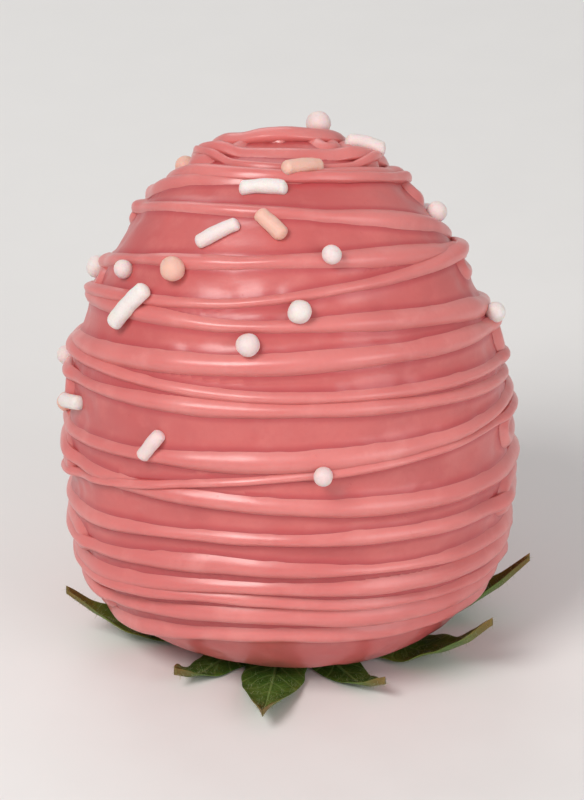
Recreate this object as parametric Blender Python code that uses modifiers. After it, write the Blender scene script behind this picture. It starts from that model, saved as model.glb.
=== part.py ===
"""A chocolate coated strawberry that stands tip up on its own leaf cap.

Frame: metres, +Z up towards the berry's tip, origin on the floor at the cut end of the stem.
Pieces: the coated berry, the leaf cap (calyx) that it stands on, and the stub of its stem.
"""

import math

import bmesh
import bpy
from mathutils import Vector, noise

MM = 0.001
GAP = 0.3 * MM  # clearance between pieces that touch

# Driving dimensions of the coated berry
BERRY_WIDTH = 37.0 * MM  # across X
BERRY_DEPTH = 34.5 * MM  # across Y
BERRY_HEIGHT = 43.0 * MM  # shoulder to tip

# Half outline of the berry, from the dimple round the stem to the tip:
# (share of the half width, share of the height)
BERRY_OUTLINE = [
    (0.00, 0.078),
    (0.20, 0.062),
    (0.38, 0.018),
    (0.54, 0.000),
    (0.77, 0.045),
    (0.94, 0.165),
    (1.00, 0.340),
    (0.97, 0.530),
    (0.86, 0.710),
    (0.665, 0.865),
    (0.375, 0.968),
    (0.00, 1.000),
]
BERRY_SEGMENTS = 72
BERRY_RINGS = 42

# How far the berry strays from a turned shape
LOBES = ((2, 0.012, 0.4), (3, 0.020, 1.9), (5, 0.008, 0.7))  # (count, share, phase)
LUMP_SIZE = 11.0 * MM
LUMP_HEIGHT = 0.45 * MM
TIP_LEAN = Vector((-0.9 * MM, 0.6 * MM, 0.0))

# The leaf cap
LEAF_COUNT = 11
LEAF_THICKNESS = 0.5 * MM
LEAF_LONG = 20.5 * MM  # longest leaf, measured from the stem's axis
LEAF_SHORT = 16.0 * MM
LEAF_NOTCH = 5.6 * MM  # where neighbouring leaves part
LEAF_POINT = 1.25  # 1 gives straight sided leaves, 2 gives round ones
CAP_RECESS = 1.9 * MM  # the cap's middle rises into the berry's dimple
CAP_HUB = 1.8 * MM
FLAT_FROM = 5.2 * MM  # between these radii the leaves lie flat on the floor
FLAT_TO = 11.0 * MM
CURL_WEAK = 18.0  # rise of a leaf past the flat part, in 1/m, times the distance squared
CURL_STRONG = 78.0
LEAF_COLUMNS = 8  # grid columns across one leaf
LEAF_ROWS = 8

# The stem, cut off level with the floor
STEM_RADIUS = 1.35 * MM
STEM_FLARE = 1.15  # the stem widens towards the cap
STEM_SEGMENTS = 20


def material(name, colour, roughness, subsurface=0.0):
    """A Principled material in one colour (linear RGB)."""
    made = bpy.data.materials.new(name)
    made.use_nodes = True
    shader = made.node_tree.nodes["Principled BSDF"]
    shader.inputs["Base Color"].default_value = (*colour, 1.0)
    shader.inputs["Roughness"].default_value = roughness
    shader.inputs["Metallic"].default_value = 0.0
    shader.inputs["Subsurface Weight"].default_value = subsurface
    return made


def add_object(name, mesh_builder, collection, look):
    """Turns a bmesh into a named, smooth shaded object with one material."""
    mesh = bpy.data.meshes.new(name)
    mesh_builder.to_mesh(mesh)
    mesh_builder.free()
    mesh.materials.append(look)
    mesh.shade_smooth()
    made = bpy.data.objects.new(name, mesh)
    collection.objects.link(made)
    return made


def catmull_rom(before, start, end, after, share):
    """The point at that share of the way from start to end on a smooth curve."""
    squared = share * share
    cubed = squared * share
    return 0.5 * (
        2 * start
        + (end - before) * share
        + (2 * before - 5 * start + 4 * end - after) * squared
        + (3 * start - before - 3 * end + after) * cubed
    )


def smooth_outline(points, steps=12):
    """A dense smooth line through an outline whose two ends lie on the turning axis."""
    knots = [Vector(p) for p in points]
    first = Vector((-knots[1].x, knots[1].y))
    last = Vector((-knots[-2].x, knots[-2].y))
    padded = [first, *knots, last]
    line = []
    for i in range(1, len(padded) - 2):
        for step in range(steps):
            line.append(catmull_rom(*padded[i - 1 : i + 3], step / steps))
    line.append(knots[-1])
    return line


def point_along(line, share):
    """The point at a share of the line's length."""
    lengths = [(b - a).length for a, b in zip(line, line[1:])]
    wanted = share * sum(lengths)
    for start, end, length in zip(line, line[1:], lengths):
        if wanted <= length:
            return start.lerp(end, wanted / length)
        wanted -= length
    return line[-1].copy()


def berry_surface(outline, angle, share):
    """A point of the coated berry: angle round the axis, share from dimple to tip."""
    radius, height = point_along(outline, share)
    swell = 1.0
    for count, amount, phase in LOBES:
        swell += amount * math.cos(count * angle + phase)
    round_part = math.sin(math.pi * share)  # lobes fade out at both ends
    radius *= 1.0 + (swell - 1.0) * round_part
    point = Vector(
        (
            0.5 * BERRY_WIDTH * radius * math.cos(angle),
            0.5 * BERRY_DEPTH * radius * math.sin(angle),
            BERRY_HEIGHT * height,
        )
    )
    point += TIP_LEAN * height * height
    outward = (point - Vector((0, 0, 0.4 * BERRY_HEIGHT))).normalized()
    lump = noise.noise(point / LUMP_SIZE) * LUMP_HEIGHT
    lump *= min(1.0, max(0.0, height) / 0.25)  # the shoulder stays level
    point += outward * lump
    point.z += LEAF_THICKNESS + GAP
    return point


def coated_berry(collection):
    """The berry with its coat, one solid: a sphere drawn out to the berry's outline."""
    builder = bmesh.new()
    bmesh.ops.create_uvsphere(
        builder, u_segments=BERRY_SEGMENTS, v_segments=BERRY_RINGS, radius=1.0
    )
    outline = smooth_outline(BERRY_OUTLINE)
    for vertex in builder.verts:
        angle = math.atan2(vertex.co.y, vertex.co.x)
        share = 1.0 - math.acos(max(-1.0, min(1.0, vertex.co.z))) / math.pi
        vertex.co = berry_surface(outline, angle, share)
    look = material("pink_chocolate", (0.615, 0.150, 0.145), 0.37, 0.25)
    return add_object("coated_berry", builder, collection, look)


def leaf_angle(index):
    """Leaves are spread unevenly round the stem."""
    stray = 0.16 * math.sin(2.7 * (index % LEAF_COUNT) + 0.5)
    return math.tau * (index + stray) / LEAF_COUNT


def leaf_reach(index):
    """The distance of a leaf's tip from the axis."""
    share = 0.5 + 0.5 * math.cos(math.pi * index + 0.9 * math.sin(1.3 * index))
    return LEAF_SHORT + (LEAF_LONG - LEAF_SHORT) * share


def leaf_curl(index):
    """How strongly a leaf curls up past the flat part."""
    share = 0.5 + 0.5 * math.sin(2.1 * index + 0.4)
    return CURL_WEAK + (CURL_STRONG - CURL_WEAK) * share


def leaf_height(radius, index):
    """The underside of a leaf above the floor."""
    if radius < FLAT_FROM:
        inner = max(0.0, (FLAT_FROM - radius) / (FLAT_FROM - CAP_HUB))
        eased = min(1.0, inner)
        return CAP_RECESS * eased * eased * (3.0 - 2.0 * eased)
    if radius > FLAT_TO:
        return leaf_curl(index) * (radius - FLAT_TO) ** 2
    return 0.0


def calyx(collection):
    """The leaf cap: a grid rolled into a disc with a pointed lobe for each leaf."""
    columns = LEAF_COUNT * LEAF_COLUMNS
    builder = bmesh.new()
    bmesh.ops.create_grid(
        builder, x_segments=columns, y_segments=LEAF_ROWS, size=1.0
    )
    for vertex in builder.verts:
        place = (vertex.co.x + 1.0) / 2.0 * LEAF_COUNT  # leaf number and place across
        row = (vertex.co.y + 1.0) / 2.0
        index = math.floor(place + 0.5)
        across = place - index  # -0.5 to 0.5, 0 on the leaf's midrib
        start = 0.5 * (leaf_angle(index - 1) + leaf_angle(index))
        end = 0.5 * (leaf_angle(index) + leaf_angle(index + 1))
        side = start if across < 0 else end
        angle = leaf_angle(index) + (side - leaf_angle(index)) * 2.0 * abs(across)
        fullness = 1.0 - (2.0 * abs(across)) ** LEAF_POINT
        turn = index % LEAF_COUNT  # the first and the last column are one leaf
        reach = LEAF_NOTCH + (leaf_reach(turn) - LEAF_NOTCH) * fullness
        radius = reach * row
        vertex.co = Vector(
            (
                radius * math.cos(angle),
                radius * math.sin(angle),
                leaf_height(radius, turn),
            )
        )
    bmesh.ops.remove_doubles(builder, verts=builder.verts, dist=0.02 * MM)
    bmesh.ops.reverse_faces(builder, faces=builder.faces)  # the rolled grid faced down
    look = material("leaf_green", (0.07, 0.13, 0.022), 0.5)
    made = add_object("calyx", builder, collection, look)
    thickness = made.modifiers.new("leaf_thickness", "SOLIDIFY")
    thickness.thickness = LEAF_THICKNESS
    thickness.offset = 1.0
    return made


def stem(collection):
    """The stub of the stem, cut level with the floor and flaring into the cap."""
    height = CAP_RECESS - GAP
    builder = bmesh.new()
    bmesh.ops.create_cone(
        builder,
        cap_ends=True,
        segments=STEM_SEGMENTS,
        radius1=STEM_RADIUS,
        radius2=STEM_RADIUS * STEM_FLARE,
        depth=height,
    )
    look = material("stem_green", (0.20, 0.26, 0.075), 0.55)
    made = add_object("stem", builder, collection, look)
    made.data.set_sharp_from_angle(angle=math.radians(40.0))
    made.location.z = height / 2.0
    return made


def main():
    for obj in list(bpy.data.objects):
        bpy.data.objects.remove(obj)
    collection = bpy.data.collections.new("chocolate_coated_strawberry")
    bpy.context.scene.collection.children.link(collection)
    coated_berry(collection)
    calyx(collection)
    stem(collection)


main()
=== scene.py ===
"""The looks of a chocolate coated strawberry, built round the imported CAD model.

The berry stands tip up and its front faces -Y. The coat replaces the CAD solid coated_berry, and
drizzle and sprinkles lie on it. The leaf cap and the stem replace calyx and stem.
Lengths are in metres, as in the frame.
"""

import math
import random

import bmesh
import bpy
import numpy as np
from mathutils import Matrix, Vector, noise
from mathutils.bvhtree import BVHTree
from mathutils.kdtree import KDTree


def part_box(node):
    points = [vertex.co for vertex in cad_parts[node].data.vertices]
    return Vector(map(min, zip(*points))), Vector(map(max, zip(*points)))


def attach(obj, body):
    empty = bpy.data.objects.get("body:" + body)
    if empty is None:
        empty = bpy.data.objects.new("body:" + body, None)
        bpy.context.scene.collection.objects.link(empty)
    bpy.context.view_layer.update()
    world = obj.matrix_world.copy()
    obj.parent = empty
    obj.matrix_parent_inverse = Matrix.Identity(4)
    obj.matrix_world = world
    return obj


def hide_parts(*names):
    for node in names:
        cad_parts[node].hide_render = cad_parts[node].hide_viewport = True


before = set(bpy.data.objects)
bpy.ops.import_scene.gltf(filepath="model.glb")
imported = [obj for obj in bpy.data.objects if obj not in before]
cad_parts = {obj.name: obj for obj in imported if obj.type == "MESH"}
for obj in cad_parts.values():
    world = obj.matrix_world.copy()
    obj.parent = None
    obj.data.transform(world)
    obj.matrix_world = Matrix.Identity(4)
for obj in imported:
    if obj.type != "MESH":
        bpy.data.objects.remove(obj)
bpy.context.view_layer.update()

MM = 0.001
BODY = "root"
UP = Vector((0.0, 0.0, 1.0))

BERRY_LOW, BERRY_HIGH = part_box("coated_berry")
BERRY_TOP = BERRY_HIGH.z
BERRY_BASE = BERRY_LOW.z
BERRY_MIDDLE = Vector((0.0, 0.0, BERRY_BASE + 0.40 * (BERRY_TOP - BERRY_BASE)))

# The coat
COAT_CUTS = 127  # cuts across each face of the cube that is blown up into the coat
COAT_SMOOTHING = 24
SEED_SPACING = 3.0 * MM  # the fruit's seed pits show faintly through the coat
SEED_PIT = 0.09 * MM
HEM_RADIUS = 8.0 * MM  # the coat ends here, under the berry
HEM_STRAY = 0.7 * MM
HEM_THICKNESS = 0.7 * MM

# The drizzle: strokes to and fro across the back, then the front, and a looser set over both
DRIZZLE_STEP = 0.32 * MM
DRIZZLE_SINK = 0.25 * MM
DRIZZLE_FOOT = 0.08 * MM  # the strands stand this far proud, so their edges stay clean
DRIZZLE_SIDES = 20
DOME_POWER = 1.05  # 1 gives a plain arch, more gives a softer foot
OWN_GAP = 14  # steps behind a point within which a strand doesn't cross itself
HAIRPIN_STEPS = 5  # steps to either side over which a bend is measured
CLIMB_SHARE = 0.75  # how much of what it crosses a strand climbs
END_SHARE = 0.10  # share of a strand's size that is left at its very ends

# Sprinkles
PEARL_RADIUS = 1.0 * MM
ROD_LENGTH = 4.3 * MM
ROD_RADIUS = 0.66 * MM
SPRINKLE_ROOM = 4.2 * MM  # least distance between sprinkles off the front
SPRINKLE_SINK = 0.40  # share of its radius that a sprinkle sits in the chocolate


# ---------------------------------------------------------------- small helpers


def smoothstep(low, high, value):
    share = min(1.0, max(0.0, (value - low) / (high - low)))
    return share * share * (3.0 - 2.0 * share)


def drift(place, channel, scale=1.0):
    """Smooth noise in -1..1 along a line; each channel is its own line."""
    return noise.noise(Vector((place / scale, 7.31 * channel, 3.7))) * 1.6


def mesh_object(name, points, faces, material, smooth=True):
    """A named mesh object from points and faces."""
    mesh = bpy.data.meshes.new(name)
    mesh.from_pydata([tuple(p) for p in points], [], [tuple(f) for f in faces])
    mesh.update()
    if smooth:
        mesh.shade_smooth()
    mesh.materials.append(material)
    made = bpy.data.objects.new(name, mesh)
    bpy.context.scene.collection.objects.link(made)
    return made


def set_attribute(made, name, values):
    """A number for each vertex, for the material to read."""
    attribute = made.data.attributes.new(name, "FLOAT", "POINT")
    attribute.data.foreach_set("value", np.asarray(values, np.float32))


def positions(mesh):
    flat = np.zeros(len(mesh.vertices) * 3, np.float32)
    mesh.vertices.foreach_get("co", flat)
    return flat.reshape(-1, 3).astype(float)


def normals(mesh):
    flat = np.zeros(len(mesh.vertices) * 3, np.float32)
    mesh.vertex_normals.foreach_get("vector", flat)
    return flat.reshape(-1, 3).astype(float)


def move_vertices(mesh, places):
    mesh.vertices.foreach_set("co", places.astype(np.float32).ravel())
    mesh.update()


def tree_of(*objects):
    """One ray-casting tree of several mesh objects."""
    points, faces = [], []
    for made in objects:
        start = len(points)
        points.extend(v.co.copy() for v in made.data.vertices)
        faces.extend([start + i for i in p.vertices] for p in made.data.polygons)
    return BVHTree.FromPolygons(points, faces)


def keep(piece, slot, *nodes):
    """Puts a finished piece in the model."""
    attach(piece, BODY)
    if nodes:
        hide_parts(*nodes)
    return piece


# ---------------------------------------------------------------- materials


class Shader:
    """A Principled material with helpers for wiring its nodes."""

    def __init__(self, name):
        self.material = bpy.data.materials.new(name)
        self.material.use_nodes = True
        self.tree = self.material.node_tree
        self.principled = self.tree.nodes["Principled BSDF"]
        self.place = self.add("ShaderNodeTexCoord").outputs["Object"]

    def add(self, kind, **settings):
        node = self.tree.nodes.new(kind)
        for key, value in settings.items():
            setattr(node, key, value)
        return node

    def link(self, source, target):
        self.tree.links.new(source, target)

    def set(self, **values):
        """Sets the shader's own sockets, with _ for a space in their names."""
        for key, value in values.items():
            self.principled.inputs[key.replace("_", " ")].default_value = value

    def noise(self, size, detail=3.0, roughness=0.5, distortion=0.0, stretch=None):
        """Noise with blobs of about the given size in metres, in 0..1."""
        node = self.add("ShaderNodeTexNoise")
        node.inputs["Scale"].default_value = 1.0 / size
        node.inputs["Detail"].default_value = detail
        node.inputs["Roughness"].default_value = roughness
        node.inputs["Distortion"].default_value = distortion
        self.link(self.stretched(stretch), node.inputs["Vector"])
        return node.outputs["Fac"]

    def stretched(self, stretch):
        if stretch is None:
            return self.place
        mapping = self.add("ShaderNodeMapping")
        mapping.inputs["Scale"].default_value = stretch
        self.link(self.place, mapping.inputs["Vector"])
        return mapping.outputs["Vector"]

    def specks(self, size, share):
        """1 in small spots set about the given size apart, 0 elsewhere."""
        node = self.add("ShaderNodeTexVoronoi")
        node.inputs["Scale"].default_value = 1.0 / size
        self.link(self.place, node.inputs["Vector"])
        return self.ramp(node.outputs["Distance"], (share, 1.0), (share * 1.6, 0.0))

    def cell_edges(self, size):
        """The distance to the nearest edge of a net of cells, in shares of a cell."""
        node = self.add("ShaderNodeTexVoronoi", feature="DISTANCE_TO_EDGE")
        node.inputs["Scale"].default_value = 1.0 / size
        self.link(self.place, node.inputs["Vector"])
        return node.outputs["Distance"]

    def attribute(self, name):
        return self.add("ShaderNodeAttribute", attribute_name=name).outputs["Fac"]

    def ramp(self, source, *stops):
        """Maps a number through (place, value) stops."""
        node = self.add("ShaderNodeMapRange", interpolation_type="SMOOTHSTEP")
        (low, first), (high, last) = stops
        for key, value in zip(
            ("From Min", "From Max", "To Min", "To Max"), (low, high, first, last)
        ):
            node.inputs[key].default_value = value
        self.link(source, node.inputs["Value"])
        return node.outputs["Result"]

    def math(self, operation, first, second=0.5):
        node = self.add("ShaderNodeMath", operation=operation)
        for socket, value in zip(node.inputs, (first, second)):
            if isinstance(value, (int, float)):
                socket.default_value = value
            else:
                self.link(value, socket)
        return node.outputs[0]

    def mix(self, share, first, second, blend="MIX"):
        """Blends two colours; each is a linear RGB tuple or a socket."""
        node = self.add("ShaderNodeMix", data_type="RGBA", blend_type=blend)
        if isinstance(share, (int, float)):
            node.inputs["Factor"].default_value = share
        else:
            self.link(share, node.inputs["Factor"])
        for key, value in (("A", first), ("B", second)):
            socket = next(
                s for s in node.inputs if s.name == key and s.type == "RGBA"
            )
            if isinstance(value, tuple):
                socket.default_value = (*value, 1.0)
            else:
                self.link(value, socket)
        return next(s for s in node.outputs if s.type == "RGBA")

    def colour(self, source):
        self.link(source, self.principled.inputs["Base Color"])

    def roughness(self, source):
        self.link(source, self.principled.inputs["Roughness"])

    def bump(self, *layers):
        """Stacks bumps; each layer is (height source, depth in metres)."""
        last = None
        for source, depth in layers:
            node = self.add("ShaderNodeBump")
            node.inputs["Distance"].default_value = depth
            self.link(source, node.inputs["Height"])
            if last is not None:
                self.link(last, node.inputs["Normal"])
            last = node.outputs["Normal"]
        self.link(last, self.principled.inputs["Normal"])


def chocolate(name, base, deep, pale, roughness):
    """Satin compound chocolate: gently clouded colour, a soft gloss and a few pinholes."""
    shader = Shader(name)
    clouds = shader.ramp(shader.noise(9.0 * MM, 2.0), (0.34, 0.0), (0.68, 1.0))
    colour = shader.mix(clouds, base, deep)
    bloom = shader.ramp(shader.noise(3.2 * MM, 4.0, 0.55), (0.48, 0.0), (0.78, 0.6))
    colour = shader.mix(bloom, colour, pale)
    grain = shader.ramp(shader.noise(0.5 * MM, 3.0), (0.42, 0.0), (0.70, 0.16))
    shader.colour(shader.mix(grain, colour, deep))
    gloss = shader.noise(3.0 * MM, 3.0)
    shader.roughness(
        shader.ramp(gloss, (0.3, roughness - 0.05), (0.7, roughness + 0.07))
    )
    shader.set(Subsurface_Weight=0.25, Subsurface_Scale=1.2 * MM, IOR=1.46)
    shader.set(Coat_Weight=0.22, Coat_Roughness=0.20)
    shader.principled.inputs["Subsurface Radius"].default_value = (1.0, 0.34, 0.26)
    sparse = shader.ramp(shader.noise(2.2 * MM, 1.0), (0.52, 0.0), (0.60, 1.0))
    pinholes = shader.math("MULTIPLY", shader.specks(0.85 * MM, 0.075), sparse)
    shader.bump(
        (shader.noise(2.4 * MM, 2.0), 0.030 * MM),
        (shader.noise(0.40 * MM, 3.0), 0.008 * MM),
        (pinholes, -0.020 * MM),
    )
    return shader


def coat_material():
    shader = chocolate(
        "pink_chocolate",
        base=(0.615, 0.141, 0.134),
        deep=(0.53, 0.103, 0.102),
        pale=(0.66, 0.188, 0.176),
        roughness=0.37,
    )
    before = shader.principled.inputs["Base Color"].links[0].from_socket
    # Painted shade: the coat is darkened in the creases at the strands' feet, where the strands
    # shade it
    painted_foot_shade = shader.ramp(shader.attribute("painted_foot_shade"), (0.0, 0.0), (1.0, 0.62))
    with_painted_foot_shade = shader.mix(painted_foot_shade, before, (0.45, 0.050, 0.062))
    fruit_mottle = shader.noise(1.2 * MM, 3.0)
    fruit = shader.mix(fruit_mottle, (0.50, 0.018, 0.012), (0.36, 0.008, 0.010))
    shader.colour(shader.mix(shader.attribute("bare"), with_painted_foot_shade, fruit))
    return shader.material


def drizzle_material():
    shader = chocolate(
        "pink_drizzle",
        base=(0.70, 0.211, 0.198),
        deep=(0.64, 0.169, 0.161),
        pale=(0.75, 0.272, 0.253),
        roughness=0.34,
    )
    return shader.material


def sugar_material():
    """Pressed sugar; the tint attribute picks white, pinkish white or peach."""
    shader = Shader("sugar")
    tint = shader.attribute("tint")
    whites = shader.mix(
        shader.ramp(tint, (0.0, 0.0), (0.6, 1.0)), (0.81, 0.775, 0.75), (0.80, 0.64, 0.63)
    )
    colour = shader.mix(
        shader.ramp(tint, (0.80, 0.0), (0.82, 1.0)), whites, (0.80, 0.47, 0.37)
    )
    grain = shader.noise(0.14 * MM, 4.0, 0.65)
    colour = shader.mix(
        shader.ramp(grain, (0.35, 0.25), (0.65, 0.0)), colour, (0.66, 0.52, 0.50)
    )
    shader.colour(colour)
    shader.roughness(shader.ramp(grain, (0.3, 0.42), (0.7, 0.62)))
    shader.set(Subsurface_Weight=0.35, Subsurface_Scale=0.6 * MM, IOR=1.5)
    shader.bump((grain, 0.03 * MM), (shader.noise(0.5 * MM, 2.0), 0.05 * MM))
    return shader.material


def leaf_material():
    """A sepal: deep green between paler veins, a lighter underside and dry tips."""
    shader = Shader("leaf")
    along = shader.attribute("along")
    side = shader.attribute("side")
    under = shader.attribute("under")
    taper = shader.ramp(along, (0.0, 1.25), (1.0, 0.5))
    from_middle = shader.math("DIVIDE", side, taper)
    midrib = shader.ramp(from_middle, (0.08 * MM, 1.0), (0.26 * MM, 0.0))
    slant = shader.math("MULTIPLY", side, -1.3)
    slant = shader.math("ADD", slant, shader.attribute("run"))
    slant = shader.math("DIVIDE", slant, LATERAL_SPACING)
    sway = shader.ramp(shader.noise(2.2 * MM, 1.0), (0.25, 0.0), (0.75, 0.5))
    slant = shader.math("ADD", slant, sway)
    from_lateral = shader.math("PINGPONG", slant, 0.5)
    laterals = shader.ramp(from_lateral, (0.02, 0.75), (0.13, 0.0))
    laterals = shader.math("MULTIPLY", laterals, shader.ramp(along, (0.55, 1.0), (0.95, 0.0)))
    net = shader.ramp(shader.cell_edges(0.62 * MM), (0.0, 0.30), (0.09, 0.0))
    veins = shader.math("MAXIMUM", midrib, laterals)
    veins = shader.math("MAXIMUM", veins, net)
    blotches = shader.ramp(shader.noise(2.6 * MM, 4.0, 0.6), (0.38, 0.0), (0.64, 1.0))
    green = shader.mix(blotches, (0.034, 0.085, 0.010), (0.088, 0.160, 0.024))
    cells = shader.ramp(shader.noise(0.42 * MM, 3.0, 0.6), (0.42, 0.0), (0.62, 0.5))
    green = shader.mix(cells, green, (0.060, 0.118, 0.014))
    lighter = shader.ramp(under, (0.0, 0.0), (1.0, 0.45))
    green = shader.mix(lighter, green, (0.150, 0.240, 0.075))
    vein_share = shader.math("MULTIPLY", veins, 0.62)
    green = shader.mix(vein_share, green, (0.23, 0.33, 0.095))
    yellowed = shader.ramp(shader.noise(7.0 * MM, 1.0), (0.52, 0.0), (0.70, 0.4))
    green = shader.mix(yellowed, green, (0.22, 0.24, 0.035))
    tip = shader.ramp(along, (0.80, 0.0), (1.0, 0.75))
    shader.colour(shader.mix(tip, green, (0.21, 0.105, 0.035)))
    shader.roughness(shader.ramp(shader.noise(1.0 * MM), (0.3, 0.42), (0.7, 0.60)))
    shader.set(Subsurface_Weight=0.12, Subsurface_Scale=0.5 * MM, IOR=1.4)
    shader.set(Specular_IOR_Level=0.28)
    # Veins are sunk in the upper face and stand out on the underside
    sign = shader.ramp(under, (0.0, -1.0), (1.0, 1.0))
    shader.bump(
        (shader.math("MULTIPLY", veins, sign), 0.07 * MM),
        (shader.noise(0.6 * MM, 3.0), 0.045 * MM),
        (shader.noise(0.14 * MM, 2.0), 0.012 * MM),
    )
    return shader.material


def down_material():
    """Fine pale hairs on the leaves."""
    shader = Shader("leaf_hair")
    mottle = shader.noise(1.5 * MM)
    shader.colour(shader.mix(mottle, (0.36, 0.42, 0.22), (0.50, 0.55, 0.36)))
    shader.roughness(shader.ramp(mottle, (0.3, 0.45), (0.7, 0.6)))
    return shader.material


def stem_material():
    shader = Shader("stem")
    fibres = shader.noise(0.35 * MM, 3.0, stretch=(1.0, 1.0, 0.15))
    skin = shader.mix(fibres, (0.12, 0.19, 0.045), (0.28, 0.35, 0.12))
    cut = shader.mix(
        shader.noise(0.25 * MM, 4.0, 0.6), (0.56, 0.58, 0.32), (0.36, 0.40, 0.18)
    )
    shader.colour(shader.mix(shader.attribute("cut"), skin, cut))
    shader.roughness(shader.ramp(fibres, (0.3, 0.45), (0.7, 0.65)))
    shader.bump((fibres, 0.05 * MM), (shader.noise(0.15 * MM), 0.02 * MM))
    return shader.material


# ---------------------------------------------------------------- the coat


def blown_up_cube():
    """A sphere of near square faces, as a mesh of unit directions."""
    builder = bmesh.new()
    bmesh.ops.create_cube(builder, size=2.0)
    bmesh.ops.subdivide_edges(
        builder, edges=builder.edges, cuts=COAT_CUTS, use_grid_fill=True
    )
    for vertex in builder.verts:
        spread = Vector(math.tan(c * math.pi / 4.0) for c in vertex.co)
        vertex.co = spread.normalized()
    return builder


def seed_places(tree):
    """Even spots over the berry, where the fruit's seeds lie under the coat."""
    area = 4.0 * math.pi * (19.0 * MM) ** 2
    count = int(area / (SEED_SPACING * SEED_SPACING))
    golden = math.pi * (3.0 - math.sqrt(5.0))
    places = []
    for i in range(count):
        height = 1.0 - 2.0 * (i + 0.5) / count
        ring = math.sqrt(1.0 - height * height)
        angle = golden * i + 0.12 * math.sin(3.1 * i)
        direction = Vector((ring * math.cos(angle), ring * math.sin(angle), height))
        places.append(tree.ray_cast(BERRY_MIDDLE, direction)[0])
    return places


def hem_radius(angle):
    return HEM_RADIUS + HEM_STRAY * drift(math.cos(angle), 11, 0.8) * math.cos(
        2.0 * angle + 1.0
    )


def coat():
    """The chocolate shell: the CAD berry resampled finely, with pits, lumps and a hem."""
    cad_tree = tree_of(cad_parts["coated_berry"])
    builder = blown_up_cube()
    for vertex in builder.verts:
        vertex.co = cad_tree.ray_cast(BERRY_MIDDLE, vertex.co)[0]
    for _ in range(COAT_SMOOTHING):
        bmesh.ops.smooth_vert(
            builder,
            verts=builder.verts,
            factor=0.5,
            use_axis_x=True,
            use_axis_y=True,
            use_axis_z=True,
        )
    mesh = bpy.data.meshes.new("chocolate_coat")
    builder.to_mesh(mesh)
    builder.free()
    mesh.update()

    seeds = seed_places(cad_tree)
    pits = KDTree(len(seeds))
    for i, place in enumerate(seeds):
        pits.insert(place, i)
    pits.balance()

    places = positions(mesh)
    outward = normals(mesh)
    lift = np.zeros(len(places))
    bare = np.zeros(len(places))
    for i, spot in enumerate(places):
        point = Vector(spot)
        away = pits.find(point)[2]
        lift[i] -= SEED_PIT * math.exp(-((away / (0.8 * MM)) ** 2))
        lift[i] += 0.10 * MM * noise.noise(point / (4.5 * MM))
        lift[i] += 0.012 * MM * noise.noise(point / (1.4 * MM))
        radius = math.hypot(point.x, point.y)
        if point.z < BERRY_BASE + 5.0 * MM and radius < HEM_RADIUS + 2.0 * MM:
            edge = hem_radius(math.atan2(point.y, point.x)) - radius
            bare[i] = smoothstep(-0.15 * MM, 0.35 * MM, edge)
            lift[i] -= HEM_THICKNESS * bare[i]
    move_vertices(mesh, places + outward * lift[:, None])
    mesh.shade_smooth()
    mesh.materials.append(coat_material())
    made = bpy.data.objects.new("chocolate_coat", mesh)
    bpy.context.scene.collection.objects.link(made)
    set_attribute(made, "bare", bare)
    return made


def meniscus(shell, laid):
    """Draws the coat up a little where the drizzle wets it, and marks the strands' feet, where
    the coat gets a painted shade in the crease.
    """
    near = KDTree(len(laid))
    for i, (point, _, _) in enumerate(laid):
        near.insert(point, i)
    near.balance()
    places = positions(shell.data)
    outward = normals(shell.data)
    lift = np.zeros(len(places))
    painted_foot_shade = np.zeros(len(places))
    for i, spot in enumerate(places):
        _, index, away = near.find(spot)
        clear = away - 0.5 * laid[index][1]
        if clear < 1.5 * MM:
            wetting = min(0.13 * MM, 0.25 * laid[index][2])
            lift[i] = wetting * math.exp(-((max(0.0, clear) / (0.45 * MM)) ** 2))
            # Painted shade mask: 1 in the crease at a strand's foot, fading outward
            painted_foot_shade[i] = math.exp(-((max(0.0, clear) / (0.40 * MM)) ** 2))
    move_vertices(shell.data, places + outward * lift[:, None])
    set_attribute(shell, "painted_foot_shade", painted_foot_shade)


# ---------------------------------------------------------------- drizzle


class Meridian:
    """Turns a distance along the skin from the tip into an angle from the axis."""

    def __init__(self, tree):
        angles = np.radians(np.arange(0.0, 171.0, 1.5))
        turns = [k * math.tau / 12 for k in range(12)]
        reach = []
        for polar in angles:
            hits = []
            for turn in turns:
                direction = Vector(
                    (
                        math.sin(polar) * math.cos(turn),
                        math.sin(polar) * math.sin(turn),
                        math.cos(polar),
                    )
                )
                hits.append(tree.ray_cast(BERRY_MIDDLE, direction)[3])
            reach.append(sum(hits) / len(hits))
        self.radii = np.sin(angles) * reach
        outline = np.stack([self.radii, np.cos(angles) * reach], axis=1)
        steps = np.linalg.norm(np.diff(outline, axis=0), axis=1)
        self.distances = np.concatenate([[0.0], np.cumsum(steps)])
        self.angles = angles

    def polar(self, distance):
        return float(np.interp(distance, self.distances, self.angles))

    def radius(self, distance):
        return float(np.interp(distance, self.distances, self.radii))


def zigzag(meridian, plan):
    """A hand's strokes to and fro: (turn, distance) pairs with a round hairpin at each end."""
    dice = random.Random(plan["seed"])
    pitch = plan["pitch"]
    side = plan["side"]
    down = plan["start"]
    reach = plan["reach"]
    route = []
    while down < plan["end"]:
        next_reach = plan["reach"] * dice.uniform(0.84, 1.12)
        slope = pitch * dice.gauss(0.42, plan["scatter"])
        bow = pitch * dice.gauss(0.0, 0.5 * plan["scatter"])
        gap = pitch * dice.uniform(0.36, 0.80)
        for k in range(80):
            share = k / 80
            turn = side * (reach - (reach + next_reach) * share)
            route.append((turn, down + slope * share + bow * math.sin(math.pi * share)))
        side = -side
        reach = next_reach
        bulge = 0.6 * gap / max(4.0 * MM, meridian.radius(down))
        for k in range(13):
            angle = math.pi * (k / 12 - 0.5)
            route.append(
                (
                    side * (reach + bulge * math.cos(angle)),
                    down + slope + 0.5 * gap * (1.0 + math.sin(angle)),
                )
            )
        down += slope + gap
    return route


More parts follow.
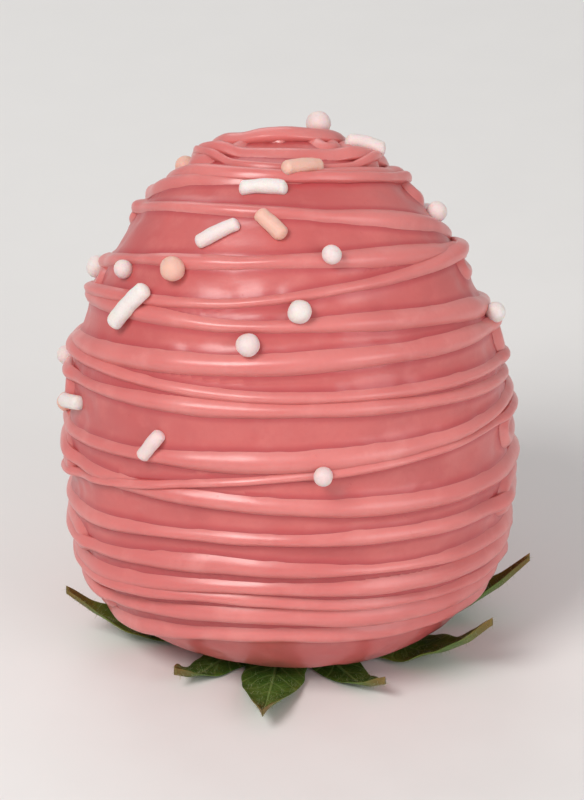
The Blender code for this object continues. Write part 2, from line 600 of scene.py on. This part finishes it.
def strand_point(tree, meridian, turn, distance, tilt, tilt_turn):
    """The skin's point at a turn round the axis and a distance down from its top end."""
    polar = meridian.polar(distance)
    direction = Vector(
        (
            math.sin(polar) * math.sin(turn),
            -math.sin(polar) * math.cos(turn),
            math.cos(polar),
        )
    )
    hinge = Matrix.Rotation(tilt_turn, 3, "Z") @ Vector((1.0, 0.0, 0.0))
    direction.rotate(Matrix.Rotation(-tilt, 3, hinge))
    return tree.ray_cast(BERRY_MIDDLE, direction)[0]


def strand_route(tree, meridian, plan):
    """The strokes laid on the skin, as evenly spaced points."""
    rough = []
    for i, (turn, distance) in enumerate(zigzag(meridian, plan)):
        low = smoothstep(0.25, 0.95, distance / plan["end"])
        tilt = plan["tilt_top"] + (plan["tilt_low"] - plan["tilt_top"]) * low
        distance += plan["sway"] * drift(i / 93.0, plan["seed"], 0.31)
        rough.append(
            strand_point(
                tree,
                meridian,
                plan["middle"] + turn,
                max(0.3 * MM, distance),
                tilt,
                plan["middle"] + plan["twist"],
            )
        )
    return softened(even_steps(rough, DRIZZLE_STEP), 3)


def even_steps(points, step):
    places = np.array([tuple(p) for p in points])
    lengths = np.linalg.norm(np.diff(places, axis=0), axis=1)
    along = np.concatenate([[0.0], np.cumsum(lengths)])
    wanted = np.arange(0.0, along[-1], step)
    return [
        Vector(np.interp(w, along, places[:, k]) for k in range(3)) for w in wanted
    ]


def softened(vectors, reach):
    """Each vector replaced by the mean of its neighbours along the line."""
    soft = []
    for i in range(len(vectors)):
        near = vectors[max(0, i - reach) : i + reach + 1]
        soft.append(sum(near, Vector()) / len(near))
    return soft


def bends(points):
    """1 in a hairpin, where the hand is slow, and 0 along a stroke; eased along the line."""
    slow = np.zeros(len(points))
    for i in range(HAIRPIN_STEPS, len(points) - HAIRPIN_STEPS):
        before = points[i] - points[i - HAIRPIN_STEPS]
        after = points[i + HAIRPIN_STEPS] - points[i]
        slow[i] = smoothstep(0.5, 1.7, before.angle(after))
    kernel = np.hanning(21)
    return np.convolve(slow, kernel / kernel.sum(), mode="same")


def strand_sizes(points, plan):
    """Width and height along a strand: fuller where the hand was slow, blobs at the ends."""
    slow = bends(points)
    widths, heights = [], []
    for i in range(len(points)):
        place = i * DRIZZLE_STEP
        swell = 1.0 + plan["unevenness"] * drift(place, plan["seed"] + 2, 24.0 * MM)
        swell += 0.45 * plan["unevenness"] * drift(place, plan["seed"] + 3, 7.0 * MM)
        swell += 0.35 * slow[i]
        from_end = min(i, len(points) - 1 - i) * DRIZZLE_STEP
        blob = 1.0 + 0.30 * math.exp(-(((from_end - 1.2 * MM) / (1.1 * MM)) ** 2))
        widths.append(plan["width"] * swell * blob)
        heights.append(plan["height"] * (0.40 + 0.60 * swell) * blob)
    return widths, heights


def climb(points, widths, heights, laid):
    """How far a strand is lifted by what it crosses, which is earlier strands or itself."""
    everything = laid + [(p, w, h) for p, w, h in zip(points, widths, heights)]
    near = KDTree(len(everything))
    for i, (point, _, _) in enumerate(everything):
        near.insert(point, i)
    near.balance()
    own = len(laid)
    raised = np.zeros(len(points))
    for i, point in enumerate(points):
        for _, j, away in near.find_range(point, 2.2 * MM):
            if j >= own + i - OWN_GAP:
                continue
            _, width, top = everything[j]
            if j >= own:
                top += raised[j - own]
            edge = 0.5 * width + 0.30 * widths[i]
            cover = 1.0 - smoothstep(0.30 * width, edge, away)
            raised[i] = max(raised[i], CLIMB_SHARE * top * cover)
    wide = 2
    padded = np.pad(raised, wide, mode="edge")
    highest = np.max([padded[k : k + len(raised)] for k in range(2 * wide + 1)], axis=0)
    kernel = np.hanning(11)
    kernel /= kernel.sum()
    return np.convolve(np.pad(highest, 5, mode="edge"), kernel, mode="valid")


def strand_section():
    """Points round a strand: (across, up), a wetted dome above and a shallow keel below."""
    section = []
    for k in range(DRIZZLE_SIDES):
        angle = math.tau * k / DRIZZLE_SIDES
        across = math.cos(angle)
        up = math.sin(angle)
        up = (1.0 - across * across) ** DOME_POWER if up > 0.0 else up
        section.append((across, up))
    return section


def lay_strand(tree, laid, plan, points):
    """Sweeps a strand along its route. Returns its mesh data and what it adds to the laid."""
    outward = softened([tree.find_nearest(p)[1] for p in points], 3)
    widths, heights = strand_sizes(points, plan)
    raised = climb(points, widths, heights, laid)
    section = strand_section()
    last = len(points) - 1
    verts, line = [], []
    for i, point in enumerate(points):
        ahead = points[min(last, i + 2)] - points[max(0, i - 2)]
        normal = outward[i].normalized()
        across = ahead.cross(normal).normalized()
        from_end = min(i, last - i) * DRIZZLE_STEP
        cap = math.sqrt(max(0.0, 1.0 - max(0.0, 1.0 - from_end / (0.9 * MM)) ** 2))
        cap = max(END_SHARE, cap)
        sag = 0.10 * MM * heights[i] / plan["height"] * cap
        for side, up in section:
            depth = heights[i] if up > 0.0 else DRIZZLE_SINK + raised[i]
            offset = across * (0.5 * widths[i] * cap * side)
            rise = raised[i] + DRIZZLE_FOOT * cap + depth * cap * up
            lean = -UP * (sag * max(0.0, up))
            verts.append(point + offset + normal * rise + lean)
        line.append((point, widths[i] * cap, raised[i] + heights[i] * cap))
    count = len(section)
    faces = []
    for i in range(last):
        for k in range(count):
            a = i * count + k
            b = i * count + (k + 1) % count
            faces.append((a, a + count, b + count, b))
    faces.append(tuple(range(count)))
    faces.append(tuple(reversed(range(last * count, (last + 1) * count))))
    return verts, faces, line


DRIZZLE_PLANS = {
    "drizzle_back": {
        "seed": 44,
        "middle": math.pi,
        "side": 1.0,
        "reach": math.radians(100.0),
        "start": 2.2 * MM,
        "end": 50.0 * MM,
        "pitch": 3.0 * MM,
        "scatter": 0.28,
        "tilt_top": math.radians(-9.0),
        "tilt_low": math.radians(-3.0),
        "twist": math.radians(-6.0),
        "sway": 0.30 * MM,
        "width": 1.62 * MM,
        "height": 0.60 * MM,
        "unevenness": 0.36,
    },
    "drizzle_front": {
        "seed": 21,
        "middle": 0.0,
        "side": -1.0,
        "reach": math.radians(112.0),
        "start": 2.0 * MM,
        "end": 50.5 * MM,
        "pitch": 2.8 * MM,
        "scatter": 0.22,
        "tilt_top": math.radians(20.0),
        "tilt_low": math.radians(5.0),
        "twist": math.radians(4.0),
        "sway": 0.30 * MM,
        "width": 1.62 * MM,
        "height": 0.60 * MM,
        "unevenness": 0.36,
    },
    "drizzle_over": {
        "seed": 65,
        "middle": math.radians(20.0),
        "side": 1.0,
        "reach": math.radians(150.0),
        "start": 5.0 * MM,
        "end": 46.0 * MM,
        "pitch": 7.4 * MM,
        "scatter": 0.40,
        "tilt_top": math.radians(17.0),
        "tilt_low": math.radians(8.0),
        "twist": math.radians(-16.0),
        "sway": 0.40 * MM,
        "width": 1.05 * MM,
        "height": 0.46 * MM,
        "unevenness": 0.38,
    },
}


def drizzle(tree):
    """The strands, each its own piece, and all their centre lines."""
    meridian = Meridian(tree)
    look = drizzle_material()
    pieces, laid = [], []
    for name, plan in DRIZZLE_PLANS.items():
        route = strand_route(tree, meridian, plan)
        verts, faces, line = lay_strand(tree, laid, plan, route)
        pieces.append(mesh_object(name, verts, faces, look))
        laid = laid + line
    return pieces, laid


# ---------------------------------------------------------------- sprinkles

# Sprinkles on the front, listed one by one: kind, degrees round from the front (+ is right),
# height as a share of the berry's, turn of a rod in degrees, tint
FRONT_SPRINKLES = [
    ("rod", -30, 0.98, 10, 0.1),
    ("rod", 20, 0.99, 5, 0.9),
    ("rod", -40, 0.92, 45, 0.3),
    ("rod", -13, 0.94, -40, 0.9),
    ("pearl", 18, 0.89, 0, 0.35),
    ("pearl", -50, 0.85, 0, 0.9),
    ("pearl", 3, 0.81, 0, 0.2),
    ("pearl", -72, 0.81, 0, 0.4),
    ("rod", -60, 0.765, 62, 0.0),
    ("pearl", -15, 0.75, 0, 0.4),
    ("rod", -42, 0.53, 60, 0.65),
    ("pearl", 9, 0.51, 0, 0.5),
]


def skin_spot(tree, turn, height_share):
    """A point on the coat, by turn from the front and height, and its normal."""
    height = BERRY_BASE + height_share * (BERRY_TOP - BERRY_BASE)
    axis_point = Vector((0.0, 0.0, min(height, BERRY_MIDDLE.z + 0.2 * BERRY_TOP)))
    outward = Vector((math.sin(turn), -math.cos(turn), 0.0))
    low, high = 0.0, math.radians(89.0)
    for _ in range(30):
        middle = 0.5 * (low + high)
        direction = outward * math.cos(middle) + UP * math.sin(middle)
        hit = tree.ray_cast(axis_point, direction)
        if hit[0].z < height:
            low = middle
        else:
            high = middle
    return hit[0], hit[1]


def resting_place(decorated, spot, normal, along, half):
    """Where a thing of that half length lies on coat and drizzle: its middle, along, normal."""
    reach = 3.0 * MM
    feet = []
    for step in (-1.0, 0.0, 1.0):
        start = spot + along * (step * half) + normal * reach
        feet.append(decorated.ray_cast(start, -normal)[0])
    tail, middle, head = feet
    along = (head - tail).normalized()
    across = normal.cross(along).normalized()
    normal = along.cross(across).normalized()
    centre = 0.5 * (head + tail)
    lift = max(0.0, (middle - centre).dot(normal))
    return centre + normal * lift, along, normal


def pearl_mesh(radius, seed):
    """A slightly lumpy sugar ball."""
    builder = bmesh.new()
    bmesh.ops.create_icosphere(builder, subdivisions=3, radius=radius)
    for vertex in builder.verts:
        shift = Vector((seed * 3.1, seed * 1.7, 0.0))
        lump = noise.noise(vertex.co / (0.9 * MM) + shift)
        vertex.co *= 1.0 + 0.07 * lump
    return builder


def rod_mesh(length, radius, bend, seed):
    """A short sugar strand with blunt rounded ends, uneven and bent a little."""
    builder = bmesh.new()
    bmesh.ops.create_uvsphere(builder, u_segments=16, v_segments=16, radius=radius)
    half = 0.5 * length - 0.7 * radius
    bmesh.ops.rotate(
        builder,
        verts=builder.verts,
        cent=(0.0, 0.0, 0.0),
        matrix=Matrix.Rotation(math.pi / 2.0, 3, "Y"),
    )
    for vertex in builder.verts:
        if abs(vertex.co.x) > 1e-7:
            vertex.co.x = math.copysign(half + 0.7 * abs(vertex.co.x), vertex.co.x)
    middle = [e for e in builder.edges if e.calc_length() > half]
    bmesh.ops.subdivide_edges(builder, edges=middle, cuts=8, use_grid_fill=True)
    shift = Vector((0.0, seed * 1.9, seed * 0.7))
    for vertex in builder.verts:
        share = vertex.co.x / (0.5 * length)
        swell = 1.0 + 0.10 * noise.noise(Vector((1.3 * share, 0.0, 0.0)) + shift)
        swell += 0.06 * noise.noise(vertex.co / (0.7 * MM) + shift)
        vertex.co.y *= swell
        vertex.co.z *= swell
        vertex.co.z -= bend * share * share
    return builder


def joined(name, parts, material):
    """One piece from many small meshes, each with its place and tint."""
    verts, faces, tints = [], [], []
    for builder, matrix, tint in parts:
        start = len(verts)
        builder.verts.index_update()
        verts.extend(matrix @ v.co for v in builder.verts)
        faces.extend(tuple(start + v.index for v in f.verts) for f in builder.faces)
        tints.extend([tint] * len(builder.verts))
        builder.free()
    made = mesh_object(name, verts, faces, material)
    set_attribute(made, "tint", tints)
    return made


def sprinkle_plan(tree):
    """The front's sprinkles and a like scatter over the sides and the back, none touching."""
    plan = [
        (*skin_spot(tree, math.radians(turn), height), kind, math.radians(spin), tint)
        for kind, turn, height, spin, tint in FRONT_SPRINKLES
    ]
    dice = random.Random(5)
    for cluster_turn, count in ((116.0, 9), (165.0, 6), (212.0, 9), (241.0, 5)):
        centre = dice.uniform(0.55, 0.82)
        placed = 0
        while placed < count:
            turn = math.radians(cluster_turn + dice.gauss(0.0, 15.0))
            height = min(0.95, max(0.22, dice.gauss(centre, 0.15)))
            spot, normal = skin_spot(tree, turn, height)
            if min((spot - other[0]).length for other in plan) < SPRINKLE_ROOM:
                continue
            kind = "rod" if dice.random() < 0.4 else "pearl"
            tint = dice.choice((0.0, 0.1, 0.2, 0.35, 0.5, 0.9))
            plan.append((spot, normal, kind, dice.uniform(0.0, math.pi), tint))
            placed += 1
    return plan


def settled(decorated, spot, normal, spin, half, radius, sink):
    """The matrix that lays a thing of that half length and radius in the chocolate."""
    side = UP.cross(normal).normalized()
    side.rotate(Matrix.Rotation(spin, 3, normal))
    centre, along, normal = resting_place(decorated, spot, normal, side, half)
    centre += normal * (radius * (1.0 - sink))
    basis = Matrix((along, normal.cross(along), normal)).transposed().to_4x4()
    return Matrix.Translation(centre) @ basis


def sprinkles(tree, decorated):
    """The sprinkles' pieces, one for each kind."""
    dice = random.Random(11)
    plan = sprinkle_plan(tree)
    pearls, rods = [], []
    for number, (spot, normal, kind, spin, tint) in enumerate(plan):
        if kind == "pearl":
            radius = PEARL_RADIUS * dice.uniform(0.80, 1.12)
            sugar = pearl_mesh(radius, number)
            half = 0.5 * radius
        else:
            radius = ROD_RADIUS * dice.uniform(0.88, 1.1)
            length = ROD_LENGTH * dice.uniform(0.70, 1.15)
            sugar = rod_mesh(length, radius, dice.uniform(0.0, 0.3) * MM, number)
            half = 0.38 * length
        matrix = settled(decorated, spot, normal, spin, half, radius, SPRINKLE_SINK)
        (pearls if kind == "pearl" else rods).append((sugar, matrix, tint))
    look = sugar_material()
    return joined("sugar_pearls", pearls, look), joined("sugar_rods", rods, look)


# ---------------------------------------------------------------- leaf cap

LEAF_THICKNESS = 0.26 * MM
LEAF_ROWS = 64
LEAF_COLUMNS = 28
LATERAL_SPACING = 1.7 * MM  # between the veins that branch off a midrib


def leaf_tips():
    """(angle, reach) of each lobe's tip of the CAD leaf cap."""
    points = positions(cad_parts["calyx"].data)
    angles = np.arctan2(points[:, 1], points[:, 0])
    reach = np.hypot(points[:, 0], points[:, 1])
    tips = []
    for i in np.argsort(-reach):
        apart = [
            abs(math.remainder(angles[i] - angle, math.tau)) for angle, _ in tips
        ]
        if not apart or min(apart) > math.radians(18.0):
            if reach[i] > 12.0 * MM:
                tips.append((float(angles[i]), float(reach[i])))
    return sorted(tips)


def cap_height(tree, angle, radius):
    """The middle of the CAD leaf cap's thickness at a place, or None outside it."""
    x, y = radius * math.cos(angle), radius * math.sin(angle)
    above = tree.ray_cast(Vector((x, y, 20.0 * MM)), -UP)[0]
    below = tree.ray_cast(Vector((x, y, -1.0 * MM)), UP)[0]
    return None if above is None else 0.5 * (above.z + below.z)


def leaf_width(share, fullness):
    """Half width of a sepal along its length, pointed at the tip."""
    belly = 1.95 * math.sqrt(share) * (1.0 - share**1.8)
    shoulder = 1.0 - smoothstep(0.0, 0.35, share)
    return fullness * max(belly, 0.62 * shoulder)


def sepal(tree, ceiling, angle, reach, number):
    """One sepal as a grid of points, with how far each lies along and beside its midrib."""
    broad = number % 2 == 0
    fullness = (2.75 if broad else 2.05) * MM
    base = 1.5 * MM
    layer = 0.12 * MM if broad else -0.10 * MM
    bend = math.radians(5.0) * drift(number * 1.7, 60)
    heights = []
    for row in range(LEAF_ROWS + 1):
        radius = base + (reach * 0.985 - base) * row / LEAF_ROWS
        height = cap_height(tree, angle, radius)
        heights.append(heights[-1] if height is None else height)
    points, along_values, side_values = [], [], []
    for row in range(LEAF_ROWS + 1):
        share = row / LEAF_ROWS
        radius = base + (reach - base) * share
        middle_angle = angle + bend * share * share
        half = leaf_width(share, fullness)
        half *= 1.0 + 0.07 * drift(share * 9.0, 70 + number)
        for column in range(LEAF_COLUMNS + 1):
            across = 2.0 * column / LEAF_COLUMNS - 1.0
            side = across * half
            ray = Vector((math.cos(middle_angle), math.sin(middle_angle), 0.0))
            beside = Vector((-ray.y, ray.x, 0.0))
            point = ray * radius + beside * side
            free = smoothstep(11.5 * MM, 15.0 * MM, radius)
            trough = 0.55 * MM * free * across * across
            wave = 0.35 * MM * free * abs(across) * drift(
                share * 6.0 + 3.0 * (across > 0.0), 90 + number
            )
            midrib = math.exp(-((side / (0.26 * MM)) ** 2))
            height = heights[row] + layer + trough + wave - 0.12 * MM * midrib
            top = ceiling.ray_cast(Vector((point.x, point.y, 0.0)), UP)[0]
            if top is not None:
                height = min(height, top.z - LEAF_THICKNESS)
            point.z = max(height, 0.55 * LEAF_THICKNESS)
            points.append(point)
            along_values.append(share)
            side_values.append(abs(side))
    return points, along_values, side_values


def grid_faces(rows, columns, start):
    faces = []
    for row in range(rows):
        for column in range(columns):
            a = start + row * (columns + 1) + column
            faces.append((a, a + columns + 1, a + columns + 2, a + 1))
    return faces


def leaf_cap(ceiling):
    """All sepals as one piece: a grid for each, given thickness."""
    tree = tree_of(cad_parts["calyx"])
    verts, faces, along, side, run = [], [], [], [], []
    for number, (angle, reach) in enumerate(leaf_tips()):
        points, along_values, side_values = sepal(tree, ceiling, angle, reach, number)
        faces.extend(grid_faces(LEAF_ROWS, LEAF_COLUMNS, len(verts)))
        verts.extend(points)
        along.extend(along_values)
        side.extend(side_values)
        run.extend(reach * share for share in along_values)
    look = leaf_material()
    surface = mesh_object("leaf_surface", verts, faces, look)
    outward = normals(surface.data)
    middle = positions(surface.data)
    count = len(middle)
    one_row = np.abs(np.linspace(-1.0, 1.0, LEAF_COLUMNS + 1))
    across = np.tile(one_row, count // len(one_row))
    thin = (1.0 - 0.6 * np.array(along) ** 4) * (1.0 - 0.75 * across**6)
    half = 0.5 * LEAF_THICKNESS * thin[:, None]
    shell = np.concatenate([middle + outward * half, middle - outward * half])
    under_faces = [tuple(count + i for i in reversed(f)) for f in faces]
    rim_faces = []
    edge_count = {}
    for face in faces:
        for a, b in zip(face, face[1:] + face[:1]):
            edge_count[(a, b)] = edge_count.get((a, b), 0) + 1
    for a, b in edge_count:
        if (b, a) not in edge_count:
            rim_faces.append((b, a, count + a, count + b))
    bpy.data.objects.remove(surface)
    up_is_top = 1.0 if outward[:, 2].mean() > 0.0 else 0.0
    made = mesh_object("leaf_cap", shell, faces + under_faces + rim_faces, look)
    set_attribute(made, "along", along * 2)
    set_attribute(made, "side", side * 2)
    set_attribute(made, "run", run * 2)
    # The berry stands on its cap, so the face that lies on the floor is the leaf's outer one
    set_attribute(made, "under", [1.0 - up_is_top] * count + [up_is_top] * count)
    return made


def leaf_hairs(leaves):
    """Short pale hairs along the leaves' free parts and edges."""
    dice = random.Random(3)
    mesh = leaves.data
    places = positions(mesh)
    outward = normals(mesh)
    verts, faces = [], []
    for i in dice.sample(range(len(places)), 4200):
        point = Vector(places[i])
        if math.hypot(point.x, point.y) < 11.0 * MM:
            continue
        normal = Vector(outward[i])
        lean = Vector(dice.gauss(0.0, 0.5) for _ in range(3))
        tip = point + (normal + lean).normalized() * dice.uniform(0.2, 0.55) * MM
        if tip.z < 0.05 * MM:
            continue
        side = normal.orthogonal().normalized()
        third = normal.cross(side)
        start = len(verts)
        for k in range(3):
            angle = math.tau * k / 3
            ring = side * math.cos(angle) + third * math.sin(angle)
            verts.append(point - normal * 0.05 * MM + ring * 0.015 * MM)
        verts.append(tip)
        faces.extend(
            (start + a, start + b, start + c)
            for a, b, c in ((0, 1, 3), (1, 2, 3), (2, 0, 3), (2, 1, 0))
        )
    return mesh_object("leaf_hairs", verts, faces, down_material())


# ---------------------------------------------------------------- stem


def stem():
    """A short fibrous stub; its cut face lies on the floor."""
    low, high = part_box("stem")
    radius = 0.5 * (high.x - low.x)
    rings, sides = 14, 48
    verts, cut = [], []
    for ring in range(rings + 1):
        share = ring / rings
        for k in range(sides):
            angle = math.tau * k / sides
            around = Vector((math.cos(angle), math.sin(angle), 0.12 * share))
            ribs = 1.0 + 0.012 * math.cos(11.0 * angle) + 0.10 * noise.noise(around * 2.3)
            flare = 0.86 + 0.08 * share + 0.42 * share**5
            if ring == 0:
                flare -= 0.04
            spread = radius * ribs * flare
            height = low.z + (high.z + 0.45 * MM - low.z) * share
            verts.append((spread * math.cos(angle), spread * math.sin(angle), height))
            cut.append(0.0)
    faces = []
    for ring in range(rings):
        for k in range(sides):
            a = ring * sides + k
            b = ring * sides + (k + 1) % sides
            faces.append((a, b, b + sides, a + sides))
    inner = 6
    previous = list(range(sides))
    for ring in range(1, inner):
        share = 1.0 - ring / inner
        start = len(verts)
        for k in range(sides):
            x, y, _ = verts[k]
            dish = 0.10 * MM * (1.0 - share) + 0.03 * MM * math.cos(3.0 * ring)
            verts.append((x * share, y * share, low.z + max(0.0, dish)))
            cut.append(1.0)
        current = list(range(start, start + sides))
        for k in range(sides):
            n = (k + 1) % sides
            faces.append((previous[n], previous[k], current[k], current[n]))
        previous = current
    faces.append(tuple(reversed(previous)))
    faces.append(tuple(range(rings * sides, (rings + 1) * sides)))
    made = mesh_object("stem_stub", verts, faces, stem_material())
    set_attribute(made, "cut", cut)
    return made


# ---------------------------------------------------------------- stage


def look_at(made, target):
    made.rotation_mode = "QUATERNION"
    direction = Vector(target) - made.location
    made.rotation_quaternion = direction.to_track_quat("-Z", "Y")


def camera():
    data = bpy.data.cameras.new("camera")
    made = bpy.data.objects.new("camera", data)
    bpy.context.scene.collection.objects.link(made)
    elevation = math.radians(27.0)
    distance = 0.60
    target = Vector((0.0, 0.0, 0.485 * BERRY_TOP))
    made.location = target + distance * Vector(
        (0.0, -math.cos(elevation), math.sin(elevation))
    )
    look_at(made, target)
    data.sensor_width = 36.0
    data.lens = 36.0 * distance / 0.068
    data.clip_start = 0.01
    data.clip_end = 10.0
    bpy.context.scene.camera = made


def area_light(name, place, target, size, power, colour=(1.0, 1.0, 1.0)):
    data = bpy.data.lights.new(name, "AREA")
    data.shape = "DISK"
    data.size = size
    data.energy = power
    data.color = colour
    made = bpy.data.objects.new(name, data)
    bpy.context.scene.collection.objects.link(made)
    made.location = place
    look_at(made, target)


def stage():
    """A pale floor, soft light and a light surround."""
    shader = Shader("pale_floor")
    grain = shader.noise(6.0 * MM, 3.0)
    shader.colour(shader.mix(grain, (0.78, 0.77, 0.76), (0.81, 0.80, 0.79)))
    shader.roughness(shader.ramp(grain, (0.3, 0.62), (0.7, 0.72)))
    size = 2.0
    floor = mesh_object(
        "floor",
        [(-size, -size, 0), (size, -size, 0), (size, size, 0), (-size, size, 0)],
        [(0, 1, 2, 3)],
        shader.material,
    )

    centre = Vector((0.0, 0.0, 0.5 * BERRY_TOP))
    area_light("key", (-0.26, -0.30, 0.44), centre, 0.26, 2.08, (1.0, 0.985, 0.96))
    area_light("fill", (0.36, -0.36, 0.20), centre, 0.40, 0.98)
    area_light("back", (-0.10, 0.42, 0.34), centre, 0.35, 0.45)

    world = bpy.data.worlds.new("surround")
    bpy.context.scene.world = world
    world.use_nodes = True
    background = world.node_tree.nodes["Background"]
    background.inputs["Color"].default_value = (1.0, 0.99, 0.985, 1.0)
    background.inputs["Strength"].default_value = 0.40
    bpy.context.scene.view_settings.view_transform = "Standard"


# ---------------------------------------------------------------- the model


def build():
    shell = coat()
    tree = tree_of(shell)
    strands, laid = drizzle(tree)
    meniscus(shell, laid)
    decorated = tree_of(shell, *strands)
    sugar = sprinkles(tree, decorated)
    leaves = leaf_cap(tree)
    hairs = leaf_hairs(leaves)
    stub = stem()
    keep(shell, "pink_chocolate", "coated_berry")
    for strand in strands:
        keep(strand, "pink_drizzle")
    for piece in sugar:
        keep(piece, "sugar_sprinkle")
    keep(leaves, "leaf", "calyx")
    keep(hairs, "leaf")
    keep(stub, "stem", "stem")


build()
stage()
camera()
